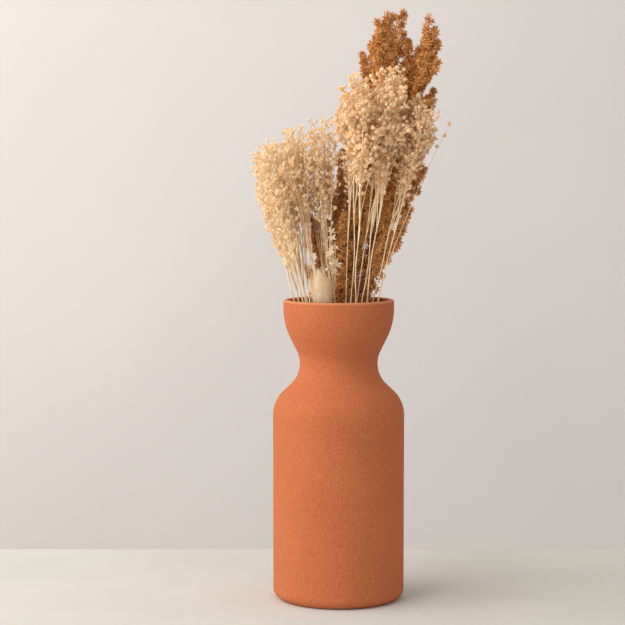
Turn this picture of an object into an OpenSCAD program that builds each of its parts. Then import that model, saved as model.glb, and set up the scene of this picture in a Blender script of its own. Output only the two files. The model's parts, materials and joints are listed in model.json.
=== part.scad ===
// Narrow-waisted terracotta vase holding thirty dried stems, in millimetres.
// +Z is up and the origin is on the table at the centre of the foot.
// The stems are tied the way a florist ties a spiral bunch: each one is straight, stands on the
// vase's floor, crosses the bunch in the neck and leans out above it. Straight lines laid out by
// one rule never cross, so every stem can be drawn out along its own axis past its neighbours.

/* [Vase] */
// Outside diameter of the straight body
body_d = 118; // [100:1:145]
// Height of the straight body wall, up to where the shoulder begins
body_h = 166; // [120:1:220]
// Rise from there to the narrowest part of the neck
neck_rise = 46.5; // [38:0.5:60]
// Outside diameter of the neck at its narrowest
neck_d = 70; // [58:1:86]
// Rise from the neck to the widest part of the bowl-shaped mouth
bowl_rise = 50; // [40:1:65]
// Outside diameter of the mouth
mouth_d = 99.4; // [92:0.2:120]
// Straight lip above the widest part of the mouth
lip_h = 7.5; // [4:0.5:15]
// Thickness of the wall
wall = 5; // [4:0.5:6]
// Height of the inside floor above the table
floor_t = 7; // [5:0.5:12]

/* [Roundings] */
// Radius of the shoulder
shoulder_round = 29.5; // [15:0.5:32]
// Radius of the neck's hollow curve
neck_round = 26; // [10:0.5:30]
// Radius of the mouth's swell
bowl_round = 61; // [20:1:70]
// Radius of the outside edge at the foot
base_round = 9; // [4:0.5:12]
// Radius of the inside edge at the floor
floor_round = 6; // [3:0.5:10]
// Radius of each edge of the rim
lip_round = 2.2; // [0.5:0.1:2.4]

/* [Foot] */
// Width of the ring that the vase stands on
foot_ring_w = 12; // [6:1:20]
// Depth of the hollow inside that ring
foot_recess = 2; // [1:0.5:4]

/* [Stems] */
// Stem diameter of the pale sprays
spray_stem_d = 2.4; // [1.6:0.1:3]
// Stem diameter of the seed spikes
spike_stem_d = 3.2; // [2:0.1:3.4]
// Stem diameter of the bunny tail and of the star sprig
thin_stem_d = 1.6; // [1:0.1:2.4]
// Gap between the outermost stems and the wall of the neck
neck_gap = 2.6; // [1.5:0.1:5]
// Gap under the lowest edge of each stem's cut end
end_gap = 0.3; // [0.2:0.1:1]

/* [Heads] */
// Greatest radius of a pale spray
spray_r = 10; // [6:0.5:12]
// Greatest radius of a seed spike
spike_r = 7; // [4:0.5:8]
// Greatest radius of the star sprig
sprig_r = 4.5; // [3:0.5:6]
// Greatest radius of the bunny tail
tail_r = 8; // [6:0.5:9]
// Length of the bunny tail
tail_l = 36; // [25:1:45]
// Height above the rim at which the left sprays begin to branch
left_branch_h = 6; // [2:1:30]
// Height above the rim at which the right sprays begin to branch
right_branch_h = 10; // [2:1:40]
// Height above the rim at which seed sits on the spikes
spike_branch_h = 12; // [4:1:40]
// Share of the room between neighbours that a head fills
head_fill = 0.86; // [0.5:0.01:0.9]

/* [Hidden] */
// Stems as [column, row, height of the tip above the rim]. Column and row count from the middle
// of a triangular grid across the neck; row 0 runs left to right and the rows go from front to back.
LEFT_SPRAYS = [
    [-3, 0, 128], [-3, 1, 136], [-2, -1, 132], [-2, 0, 140], [-1, -2, 138],
    [-1, -1, 148], [0, -3, 142], [-1, 0, 158], [0, -2, 152], [0, -1, 160]
];
RIGHT_SPRAYS = [
    [1, -1, 188], [1, 0, 205], [2, -2, 196], [2, -1, 208],
    [2, 0, 200], [3, -3, 176], [3, -2, 184], [3, -1, 168]
];
SEED_SPIKES = [
    [0, 0, 80], [-2, 1, 75], [-1, 1, 135], [0, 1, 256], [1, 1, 244],
    [-2, 2, 78], [-1, 2, 250], [0, 2, 236], [-2, 3, 215], [-1, 3, 228]
];
BUNNY_TAIL = [1, -3, 28];
STAR_SPRIG = [1, -2, 64];

// A stem's two pieces: its bare stalk, and the head that grows on the stalk's end. The bunny
// tail is one piece.
PIECES = ["stalk", "head"];

arc_step = 5;        // degrees between the points of a round stretch
turn_fn = 96;        // facets of a preview's round vase
stem_fn = 32;        // facets of a preview's round stem
dome_steps = 6;      // steps of a head's rounded top
tail_steps = 14;     // steps of the bunny tail's outline
rings = 3;           // stems from the middle of the neck to its outermost ring
round_share = 0.98;  // share of the room between two walls that their roundings may use

// How a stem's foot answers its place in the neck, both counted from the middle of the vase in
// shares of the room there: it stands on the opposite side, turned by the spiral.
cross_x = -0.74;     // sideways
cross_y = -0.07;     // front to back
spiral = 0.80;       // round the bunch
foot_shift = -0.172; // all the feet, to the left, which leans the bunch to the right

body_r = body_d / 2;
neck_r = neck_d / 2;
mouth_r = mouth_d / 2;
neck_z = body_h + neck_rise;
bowl_z = neck_z + bowl_rise;
rim_z = bowl_z + lip_h;

// Two roundings that turn opposite ways fit between walls a step apart over a rise.
function round_room(step, rise) = round_share * (step * step + rise * rise) / (2 * step);
neck_round_fit = min(neck_round, round_room(body_r - neck_r, neck_rise) - shoulder_round);
bowl_round_fit = min(bowl_round, round_room(mouth_r - neck_r, bowl_rise) - neck_round_fit);

shoulder_c = [body_r - shoulder_round, body_h];
neck_c = [neck_r + neck_round_fit, neck_z];
bowl_c = [mouth_r - bowl_round_fit, bowl_z];

// Angle to the point at which a wall leaves a swelling arc for the neck's hollow arc.
function leaving_angle(swell_c, swell_r, side) =
    let (way = neck_c - swell_c)
    atan2(way[1], way[0]) + side * acos((swell_r + neck_round_fit) / norm(way));
shoulder_end = leaving_angle(shoulder_c, shoulder_round, -1);
bowl_start = leaving_angle(bowl_c, bowl_round_fit, 1);

function arc(centre, r, from, to) =
    let (steps = ceil(abs(to - from) / arc_step))
    [for (k = [0:steps]) let (a = from + (to - from) * k / steps) centre + r * [cos(a), sin(a)]];
function backwards(points) = [for (k = [len(points) - 1:-1:0]) points[k]];

// The wall from the body up to the mouth, set in from the outside by a depth.
function wall_curve(depth) = concat(
    arc(shoulder_c, shoulder_round - depth, 0, shoulder_end),
    arc(neck_c, neck_round_fit + depth, 180 + shoulder_end, 180 + bowl_start),
    arc(bowl_c, bowl_round_fit - depth, bowl_start, 0)
);

// The bunch: places in the neck and on the floor, as shares of the room that each has.
neck_room = neck_r - wall - spike_stem_d / 2 - neck_gap;
floor_room = body_r - wall - floor_round - spike_stem_d / 2;
pitch = neck_room / rings;

function share(column, row) = [column + row / 2, row * sin(60)] / rings;
function neck_place(s) = neck_room * s;
function floor_place(s) = floor_room * [
    cross_x * s[0] - spiral * s[1] + foot_shift,
    spiral * s[0] + cross_y * s[1]
];
function slope(s) = (neck_place(s) - floor_place(s)) / (neck_z - floor_t);

// Length along a stem for a rise, and the height at which its cut end's centre stands.
function stretch(s) = norm([slope(s)[0], slope(s)[1], 1]);
function end_z(s, stem_d) = floor_t + end_gap + stem_d / 2 * norm(slope(s)) / stretch(s);

// Narrowest room between two neighbours' axes at a height: the rule's map of the grid there,
// and that map's smaller stretch.
fan = (floor_room / neck_room) / (neck_z - floor_t);
fan_x = 1 / (neck_z - floor_t) - cross_x * fan;
fan_y = 1 / (neck_z - floor_t) - cross_y * fan;
fan_turn = spiral * fan;
function neighbour_room(z) =
    let (h = z - neck_z, a = 1 + h * fan_x, d = 1 + h * fan_y, b = h * fan_turn)
    let (total = a * a + d * d + 2 * b * b, apart = norm([a * a - d * d, 2 * b * (a - d)]))
    pitch * sqrt((total - apart) / 2);
function head_r(z, most) = min(most, head_fill / 2 * neighbour_room(z));

// Outlines of the stems' turned solids as [radius, height], in heights above the table.
function dome(r, bottom, top) = [
    for (k = [0:dome_steps]) let (a = 90 * k / dome_steps) [r * cos(a), bottom + (top - bottom) * sin(a)]
];
function spray_outline(branch_z, tip_z, most) =
    let (low_z = branch_z + 0.4 * (tip_z - branch_z), dome_z = tip_z - most)
    concat(
        [[spray_stem_d / 2, branch_z], [head_r(low_z, most), low_z]],
        dome(head_r(dome_z, most), dome_z, tip_z)
    );
function spike_outline(branch_z, tip_z) =
    let (low_z = branch_z + 0.2 * (tip_z - branch_z), full_z = branch_z + 0.5 * (tip_z - branch_z))
    let (dome_z = tip_z - spike_r)
    concat(
        [[spike_stem_d / 2, branch_z], [0.8 * head_r(low_z, spike_r), low_z]],
        [[head_r(full_z, spike_r), full_z]],
        dome(0.7 * head_r(full_z, spike_r), dome_z, tip_z)
    );
function sprig_outline(branch_z, tip_z) = concat(
    [[thin_stem_d / 2, branch_z]],
    dome(head_r(branch_z, sprig_r), tip_z - 2 * sprig_r, tip_z)
);
function tail_outline(tip_z) = [
    for (k = [0:tail_steps])
        let (t = k / tail_steps, r = tail_r * pow(sin(180 * pow(t, 0.85)), 0.7))
        [t < 0.5 ? max(thin_stem_d / 2, r) : r, tip_z - tail_l * (1 - t)]
];

// A stem's stalk or head, or both as one, turned about the stem's own axis. The head starts on
// the stalk's end.
// Heights in the outline are above the table.
module stem(place, stem_d, outline, piece) {
    s = share(place[0], place[1]);
    lean = slope(s);
    bottom = end_z(s, stem_d);
    at = neck_place(s) + (bottom - neck_z) * lean;
    along = [for (p = outline) (p[1] - bottom) * stretch(s)];
    start = piece == "head" ? along[0] : 0;
    last = piece == "stalk" ? 0 : len(outline) - 1;
    translate([at[0], at[1], bottom])
        rotate([0, atan(norm(lean)), atan2(lean[1], lean[0])])
            rotate_extrude($fn = stem_fn)
                polygon(concat(
                    [[0, start], [stem_d / 2, start]],
                    [for (k = [piece == "head" ? 1 : 0:last]) [outline[k][0], along[k]]],
                    [[0, along[last]]]
                ));
}

module vase() {
    ring_r = body_r - base_round - foot_ring_w;
    color("#C67148")
        rotate_extrude($fn = turn_fn)
            polygon(concat(
                [[0, foot_recess], [ring_r - foot_recess, foot_recess], [ring_r, 0]],
                arc([body_r - base_round, base_round], base_round, -90, 0),
                wall_curve(0),
                arc([mouth_r - lip_round, rim_z - lip_round], lip_round, 0, 90),
                arc([mouth_r - wall + lip_round, rim_z - lip_round], lip_round, 90, 180),
                backwards(wall_curve(wall)),
                arc([body_r - wall - floor_round, floor_t + floor_round], floor_round, 0, -90),
                [[0, floor_t]]
            ));
}

module left_spray(place, piece) {
    color("#DEB482")
        stem(place, spray_stem_d, spray_outline(rim_z + left_branch_h, rim_z + place[2], spray_r), piece);
}

module right_spray(place, piece) {
    color("#D7AF7D")
        stem(place, spray_stem_d, spray_outline(rim_z + right_branch_h, rim_z + place[2], spray_r), piece);
}

module seed_spike(place, piece) {
    color("#A5622B")
        stem(place, spike_stem_d, spike_outline(rim_z + spike_branch_h, rim_z + place[2]), piece);
}

module bunny_tail() {
    color("#E6C8A0")
        stem(BUNNY_TAIL, thin_stem_d, tail_outline(rim_z + BUNNY_TAIL[2]), "whole");
}

module star_sprig(piece) {
    color("#EBD7B4")
        stem(STAR_SPRIG, thin_stem_d, sprig_outline(rim_z + right_branch_h, rim_z + STAR_SPRIG[2]), piece);
}

vase();
for (k = [1:len(LEFT_SPRAYS)], piece = PIECES)
    left_spray(LEFT_SPRAYS[k - 1], piece);
for (k = [1:len(RIGHT_SPRAYS)], piece = PIECES)
    right_spray(RIGHT_SPRAYS[k - 1], piece);
for (k = [1:len(SEED_SPIKES)], piece = PIECES)
    seed_spike(SEED_SPIKES[k - 1], piece);
for (piece = PIECES)
    star_sprig(piece);
bunny_tail();
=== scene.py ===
"""Finish of a terracotta flower vase and its dried bunch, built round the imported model.

Every length is in metres and every piece is made in place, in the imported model's own frame:
+Z up, origin on the table at the centre of the foot, the viewer on the -Y side.
"""

import json
import logging
import math
import random
from collections.abc import Callable, Iterable
from dataclasses import dataclass, field
from enum import Enum

import bmesh
import bpy
from mathutils import Matrix, Vector

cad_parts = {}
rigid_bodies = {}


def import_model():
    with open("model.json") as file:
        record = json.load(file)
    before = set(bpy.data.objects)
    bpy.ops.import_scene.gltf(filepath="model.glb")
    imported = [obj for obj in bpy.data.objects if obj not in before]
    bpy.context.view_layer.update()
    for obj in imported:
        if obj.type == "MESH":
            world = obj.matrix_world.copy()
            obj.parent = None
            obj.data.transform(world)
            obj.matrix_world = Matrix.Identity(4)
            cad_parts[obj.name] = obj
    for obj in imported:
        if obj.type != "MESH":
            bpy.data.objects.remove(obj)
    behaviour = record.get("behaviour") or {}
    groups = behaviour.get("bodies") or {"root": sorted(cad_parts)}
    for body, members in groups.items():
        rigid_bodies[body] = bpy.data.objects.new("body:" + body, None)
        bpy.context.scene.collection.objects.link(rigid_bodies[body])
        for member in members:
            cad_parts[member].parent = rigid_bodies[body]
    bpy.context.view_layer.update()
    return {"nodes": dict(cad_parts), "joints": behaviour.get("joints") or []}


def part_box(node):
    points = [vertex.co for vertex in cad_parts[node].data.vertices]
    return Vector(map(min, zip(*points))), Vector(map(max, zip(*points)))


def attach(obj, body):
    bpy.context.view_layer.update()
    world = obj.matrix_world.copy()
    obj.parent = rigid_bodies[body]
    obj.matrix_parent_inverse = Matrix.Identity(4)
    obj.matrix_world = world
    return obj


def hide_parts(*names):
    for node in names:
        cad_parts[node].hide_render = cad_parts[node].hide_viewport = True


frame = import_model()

MM = 0.001
# The angle between one leaf or floret and the next on many plants, in radians.
GOLDEN_TURN = 2.4
log = logging.getLogger("vase")


# ---------------------------------------------------------------- small tools


def linear(hex_colour: str) -> tuple[float, float, float, float]:
    """Turn an sRGB hex colour into the linear values that a shader takes.

    Args:
        hex_colour: a colour such as "#C67148".

    Returns:
        Red, green, blue and an alpha of 1.
    """
    parts = [int(hex_colour[k : k + 2], 16) / 255 for k in (1, 3, 5)]
    r, g, b = (c / 12.92 if c <= 0.04045 else ((c + 0.055) / 1.055) ** 2.4 for c in parts)
    return r, g, b, 1.0


def add(
    tree: bpy.types.NodeTree, kind: str, settings: dict | None = None, **inputs: object
) -> bpy.types.Node:
    """Add a node with its settings, and set or link its inputs.

    Args:
        tree: the node tree to add to.
        kind: the node's type name.
        settings: properties of the node, such as its operation.
        **inputs: one for each input socket, named by its identifier with underscores for spaces;
            an output socket is linked and any other value is set.

    Returns:
        The new node.
    """
    node = tree.nodes.new(kind)
    for name, value in (settings or {}).items():
        setattr(node, name, value)
    sockets = {s.identifier.replace(" ", "_"): s for s in node.inputs}
    for name, value in inputs.items():
        if isinstance(value, bpy.types.NodeSocket):
            tree.links.new(value, sockets[name])
        else:
            sockets[name].default_value = value
    return node


def geometry_tree(
    name: str, inputs: dict[str, str]
) -> tuple[bpy.types.NodeTree, bpy.types.bpy_prop_collection]:
    """Start a geometry tree that has a Geometry input, its own named inputs and a Geometry output.

    Args:
        name: the tree's name.
        inputs: the kind of each named input, such as "Int", by its name.

    Returns:
        The tree, and the outputs of its input node.
    """
    tree = bpy.data.node_groups.new(name, "GeometryNodeTree")
    for label, kind in {"Geometry": "Geometry", **inputs}.items():
        tree.interface.new_socket(label, in_out="INPUT", socket_type="NodeSocket" + kind)
    tree.interface.new_socket("Geometry", in_out="OUTPUT", socket_type="NodeSocketGeometry")
    return tree, add(tree, "NodeGroupInput").outputs


def end_tree(tree: bpy.types.NodeTree, geometry: bpy.types.NodeSocket) -> None:
    """Link a geometry tree's finished geometry to its output."""
    tree.links.new(geometry, add(tree, "NodeGroupOutput").inputs[0])


def join(tree: bpy.types.NodeTree, *pieces: bpy.types.NodeSocket) -> bpy.types.NodeSocket:
    """Join pieces of geometry in a tree, and return the socket that gives them all."""
    joined = add(tree, "GeometryNodeJoinGeometry")
    for piece in pieces:
        tree.links.new(piece, joined.inputs[0])
    return joined.outputs[0]


def bare_material(name: str) -> tuple[bpy.types.Material, bpy.types.NodeTree, bpy.types.NodeSocket]:
    """Start a material whose tree holds only its Object coordinates.

    Args:
        name: the material's name.

    Returns:
        The material, its tree, and the socket that gives the coordinates.
    """
    material = bpy.data.materials.new(name)
    material.use_nodes = True
    tree = material.node_tree
    tree.nodes.clear()
    return material, tree, add(tree, "ShaderNodeTexCoord").outputs["Object"]


def flat_object(name: str, mesh: bpy.types.Mesh) -> bpy.types.Object:
    """Put a mesh in the scene as an object at the origin.

    Args:
        name: the object's name.
        mesh: its mesh, with every point already in place.

    Returns:
        The new object.
    """
    piece = bpy.data.objects.new(name, mesh)
    bpy.context.scene.collection.objects.link(piece)
    return piece


def grown(
    name: str, seed_mesh: bpy.types.Mesh, tree: bpy.types.NodeTree, values: dict[str, object]
) -> bpy.types.Object:
    """Run a geometry tree on a mesh and keep the result as a plain mesh object.

    Args:
        name: the finished object's name.
        seed_mesh: the mesh that the tree starts from.
        tree: the geometry tree.
        values: the tree's named inputs.

    Returns:
        An object at the origin that holds the result, with no modifier left on it.
    """
    seed = flat_object(name + "-seed", seed_mesh)
    modifier = seed.modifiers.new("grow", "NODES")
    modifier.node_group = tree
    for item in tree.interface.items_tree:
        if item.item_type == "SOCKET" and item.in_out == "INPUT" and item.name in values:
            modifier[item.identifier] = values[item.name]
    bpy.context.view_layer.update()
    depsgraph = bpy.context.evaluated_depsgraph_get()
    mesh = bpy.data.meshes.new_from_object(seed.evaluated_get(depsgraph), depsgraph=depsgraph)
    mesh.name = name
    bpy.data.objects.remove(seed)
    return flat_object(name, mesh)


def stand_in(piece: bpy.types.Object, body: str, node: str) -> None:
    """Put a finished piece on its body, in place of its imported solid.

    Args:
        piece: the piece.
        body: the record's body that it moves with.
        node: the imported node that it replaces.
    """
    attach(piece, body)
    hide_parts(node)
    log.info("%s: %d faces", piece.name, len(piece.data.polygons))


# ---------------------------------------------------------------- finishes


@dataclass(frozen=True)
class DryPlant:
    """A dried plant's skin: matt cellulose that lets some light through where it is thin.

    Attributes:
        name: the finish's common name.
        light: sRGB colour of its bleached parts.
        deep: sRGB colour of its darker parts.
        patch_mm: size of the patches in which the two colours change.
        glow: share of the light that passes through, for thin petals.
        rough: roughness of the skin.
        sheen: its specular level, low because dry cellulose hardly shines.
        patch_edge: noise levels between which one colour gives way to the other.
        fray_mm: size of its fine wrinkles.
        fray_depth_mm: depth of the wrinkles.
        fray_strength: how strongly they show.
    """

    name: str
    light: str
    deep: str
    patch_mm: float
    glow: float
    rough: float = 0.75
    sheen: float = 0.25
    patch_edge: tuple[float, float] = (0.36, 0.64)
    fray_mm: float = 0.5
    fray_depth_mm: float = 0.3
    fray_strength: float = 0.35

    def material(self) -> bpy.types.Material:
        """Build the material.

        Returns:
            A material on Object coordinates.
        """
        material, tree, place = bare_material(self.name)
        patch = add(tree, "ShaderNodeTexNoise", Vector=place, Scale=1 / (self.patch_mm * MM), Detail=2.0)
        spread = add(
            tree, "ShaderNodeMapRange",
            Value=patch.outputs["Fac"], From_Min=self.patch_edge[0], From_Max=self.patch_edge[1],
        )
        colour = add(
            tree, "ShaderNodeMix", {"data_type": "RGBA"},
            Factor_Float=spread.outputs["Result"], A_Color=linear(self.deep), B_Color=linear(self.light),
        )
        fray = add(tree, "ShaderNodeTexNoise", Vector=place, Scale=1 / (self.fray_mm * MM), Detail=1.0)
        bump = add(
            tree, "ShaderNodeBump",
            Height=fray.outputs["Fac"], Strength=self.fray_strength, Distance=self.fray_depth_mm * MM,
        )
        matt = add(
            tree, "ShaderNodeBsdfPrincipled",
            Base_Color=colour.outputs[2], Roughness=self.rough, Normal=bump.outputs["Normal"],
            Specular_IOR_Level=self.sheen,
        )
        through = add(tree, "ShaderNodeBsdfTranslucent", Color=colour.outputs[2])
        both = add(
            tree, "ShaderNodeMixShader",
            Fac=self.glow, Shader=matt.outputs[0], Shader_001=through.outputs[0],
        )
        add(tree, "ShaderNodeOutputMaterial", Surface=both.outputs[0])
        return material


@dataclass(frozen=True)
class Terracotta:
    """Unglazed terracotta, wiped smooth and dry fired: dead matt, with a sandy tooth.

    Attributes:
        body: sRGB colour of the clay.
        pale: sRGB colour of its light grit and of the painted highlight along the rim.
        dark: sRGB colour of its dark grit.
        cloud_mm: size of the faint clouds left by wiping and firing.
        grit_mm: size of a grain of grit, drawn about twice its true size so that it shows.
        rim_z: height of the rim, where a painted highlight makes the edge paler.
        clouding: greatest share of the dark colour in the clouds.
        gritting: greatest share of the grit's colours.
        rim_highlight: greatest share of the pale colour in the painted highlight at the rim.
        rim_highlight_mm: distances below the rim between which the painted highlight grows.
        tooth_mm: depth of the sandy tooth.
        rough: roughness of the clay.
        sheen: its specular level, low because the clay is unglazed.
    """

    rim_z: float
    body: str = "#C26C43"
    pale: str = "#DB9B70"
    dark: str = "#9A5432"
    cloud_mm: float = 45.0
    grit_mm: float = 0.9
    clouding: float = 0.22
    gritting: float = 0.5
    rim_highlight: float = 0.55
    rim_highlight_mm: tuple[float, float] = (2.4, 0.4)
    tooth_mm: float = 0.35
    rough: float = 0.92
    sheen: float = 0.2

    def material(self) -> bpy.types.Material:
        """Build the material.

        Returns:
            A material on Object coordinates.
        """
        material, tree, place = bare_material("terracotta-unglazed")
        cloud = add(tree, "ShaderNodeTexNoise", Vector=place, Scale=1 / (self.cloud_mm * MM), Detail=3.0)
        cloud_share = add(
            tree, "ShaderNodeMapRange", Value=cloud.outputs["Fac"],
            From_Min=0.3, From_Max=0.7, To_Max=self.clouding,
        )
        grit = add(tree, "ShaderNodeTexNoise", Vector=place, Scale=1 / (self.grit_mm * MM), Detail=2.5)
        dark_share = add(
            tree, "ShaderNodeMapRange", Value=grit.outputs["Fac"],
            From_Min=0.47, From_Max=0.32, To_Min=0.0, To_Max=self.gritting,
        )
        pale_share = add(
            tree, "ShaderNodeMapRange", Value=grit.outputs["Fac"],
            From_Min=0.55, From_Max=0.72, To_Min=0.0, To_Max=self.gritting,
        )
        height = add(tree, "ShaderNodeSeparateXYZ", Vector=place).outputs["Z"]
        # Painted highlight: a band just below the rim turns paler, standing in for the light caught by the
        # rim's edge.
        painted_rim_highlight = add(
            tree, "ShaderNodeMapRange", Value=height, To_Max=self.rim_highlight,
            From_Min=self.rim_z - self.rim_highlight_mm[0] * MM, From_Max=self.rim_z - self.rim_highlight_mm[1] * MM,
        )
        clouded = add(
            tree, "ShaderNodeMix", {"data_type": "RGBA"},
            Factor_Float=cloud_share.outputs["Result"], A_Color=linear(self.body), B_Color=linear(self.dark),
        )
        darkened = add(
            tree, "ShaderNodeMix", {"data_type": "RGBA"}, Factor_Float=dark_share.outputs["Result"],
            A_Color=clouded.outputs[2], B_Color=linear(self.dark),
        )
        gritty = add(
            tree, "ShaderNodeMix", {"data_type": "RGBA"}, Factor_Float=pale_share.outputs["Result"],
            A_Color=darkened.outputs[2], B_Color=linear(self.pale),
        )
        # The last mix lays the painted highlight of the rim over the clay and its grit.
        colour = add(
            tree, "ShaderNodeMix", {"data_type": "RGBA"}, Factor_Float=painted_rim_highlight.outputs["Result"],
            A_Color=gritty.outputs[2], B_Color=linear(self.pale),
        )
        tooth = add(
            tree, "ShaderNodeBump", Height=grit.outputs["Fac"], Strength=0.5, Distance=self.tooth_mm * MM
        )
        clay = add(
            tree, "ShaderNodeBsdfPrincipled",
            Base_Color=colour.outputs[2], Roughness=self.rough, Normal=tooth.outputs["Normal"],
            Specular_IOR_Level=self.sheen,
        )
        add(tree, "ShaderNodeOutputMaterial", Surface=clay.outputs[0])
        return material


# Bleached cup florets: thin straw paper, so they glow where the light is behind them.
CUP_PAPER = DryPlant("dried-floret-straw", "#FFF7E2", "#FFE2B6", patch_mm=4.0, glow=0.45)
# Round bolls and papery clusters: thicker and a little greyer than the cups.
BOLL_PAPER = DryPlant("dried-boll-straw", "#FFF0D2", "#FDD8A6", patch_mm=4.0, glow=0.4)
# Stripped stalks: smooth, pale and faintly shiny.
STALK = DryPlant("dried-stalk-straw", "#FFEBC8", "#EBC592", patch_mm=9.0, glow=0.1, rough=0.55)
# Ripe dock seed: small rough husks, rust in the light and brown inside the spike.
RUST_HUSK = DryPlant("dried-seed-rust", "#FFD48C", "#D4934A", patch_mm=4.5, glow=0.4)
# The spikes' own stalks, brown and ridged.
RUST_STALK = DryPlant("dried-stalk-brown", "#C08A4A", "#855629", patch_mm=8.0, glow=0.0)
# Hare's-tail down: fine cream hair.
TAIL_DOWN = DryPlant("dried-down-cream", "#FFFAEE", "#FCE6C2", patch_mm=3.0, glow=0.4, rough=0.9)
# Star florets: bleached petals.
STAR_PETAL = DryPlant("dried-petal-cream", "#FFFAEC", "#F8E2BC", patch_mm=3.0, glow=0.4)


# ---------------------------------------------------------------- florets


class Floret(Enum):
    """The small repeated heads, by the order in which a geometry tree picks them."""

    CUP = 0
    BUD = 1
    BOLL = 2
    RUFFLE = 3
    HUSKS = 4
    STAR = 5


def ring(bm: bmesh.types.BMesh, count: int, radius: float, z: float, notch: float = 0.0) -> list:
    """Add a ring of points round the Z axis.

    Args:
        bm: the mesh being built.
        count: points in the ring.
        radius: radius of its even points.
        z: its height.
        notch: how much lower and further in its odd points lie, as a share.

    Returns:
        The ring's vertices.
    """
    points = []
    for k in range(count):
        a = 2 * math.pi * k / count
        share = 1 - notch * (k % 2)
        points.append(bm.verts.new((radius * share * math.cos(a), radius * share * math.sin(a), z * share)))
    return points


def skin(bm: bmesh.types.BMesh, rings: list[list]) -> None:
    """Join rings of equal count into a closed skin with a fan at each end.

    Args:
        bm: the mesh being built.
        rings: the rings, from the stalk's end to the tip.
    """
    for low, high in zip(rings, rings[1:]):
        for k in range(len(low)):
            bm.faces.new((low[k - 1], low[k], high[k], high[k - 1]))
    bm.faces.new(list(reversed(rings[0])))
    bm.faces.new(rings[-1])


def turned(name: str, count: int, outline: Iterable[tuple[float, float, float]]) -> bpy.types.Mesh:
    """Make a small closed head from rings.

    Args:
        name: the mesh's name.
        count: points in each ring.
        outline: radius, height and notch of each ring, for a head one unit across.

    Returns:
        The mesh, with the stalk's end at the origin and the tip up.
    """
    bm = bmesh.new()
    skin(bm, [ring(bm, count, r, z, notch) for r, z, notch in outline])
    return closed(name, bm)


def closed(name: str, bm: bmesh.types.BMesh) -> bpy.types.Mesh:
    """Turn a closed bmesh's faces outward and hand it over as a mesh."""
    bmesh.ops.recalc_face_normals(bm, faces=bm.faces)
    mesh = bpy.data.meshes.new(name)
    bm.to_mesh(mesh)
    bm.free()
    return mesh


def husk_knot(name: str, seeds: int, rng: random.Random) -> bpy.types.Mesh:
    """Make a knot of pointed seed husks round one point.

    Each husk is a thin double cone of three sides. The husks turn by the golden angle and tilt from
    straight up to a little below level.

    Args:
        name: the mesh's name.
        seeds: husks in the knot.
        rng: the source of its random turns.

    Returns:
        The mesh, about one unit across.
    """
    waist_r, waist_z, root_z, tip_z, sides = 0.12, 0.34, 0.02, 0.72, (0, 2.1, 4.2)
    bm = bmesh.new()
    for k in range(seeds):
        tilt = math.acos(1 - 1.55 * (k + 0.5) / seeds)
        turn = Matrix.Rotation(k * GOLDEN_TURN + rng.uniform(-0.3, 0.3), 3, "Z")
        way = turn @ Matrix.Rotation(tilt, 3, "Y")
        waist = [
            bm.verts.new(way @ Vector((waist_r * math.cos(a), waist_r * math.sin(a), waist_z))) for a in sides
        ]
        root, tip = bm.verts.new(way @ Vector((0, 0, root_z))), bm.verts.new(way @ Vector((0, 0, tip_z)))
        for i in range(len(sides)):
            bm.faces.new((root, waist[i], waist[i - 1]))
            bm.faces.new((tip, waist[i - 1], waist[i]))
    return closed(name, bm)


def star(name: str, petals: int) -> bpy.types.Mesh:
    """Make a flat star flower with folded petals.

    Args:
        name: the mesh's name.
        petals: how many petals it has.

    Returns:
        The mesh, about one unit across.
    """
    half = ((0.02, 0.06, 0.0), (0.3, 0.13, 0.12))
    petal = [(x, -y, z) for x, y, z in half] + [(0.58, 0.0, 0.3)] + list(reversed(half))
    thickness = Vector((0.0, 0.0, 0.05))
    bm = bmesh.new()
    for k in range(petals):
        way = Matrix.Rotation(2 * math.pi * k / petals, 3, "Z")
        upper = [bm.verts.new(way @ Vector(p)) for p in petal]
        lower = [bm.verts.new(way @ (Vector(p) - thickness)) for p in petal]
        bm.faces.new(upper)
        bm.faces.new(list(reversed(lower)))
        for i in range(len(petal)):
            bm.faces.new((upper[i - 1], upper[i], lower[i], lower[i - 1]))
    skin(bm, [ring(bm, 6, 0.06, -0.12), ring(bm, 6, 0.13, 0.02), ring(bm, 6, 0.07, 0.12)])
    return closed(name, bm)


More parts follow.
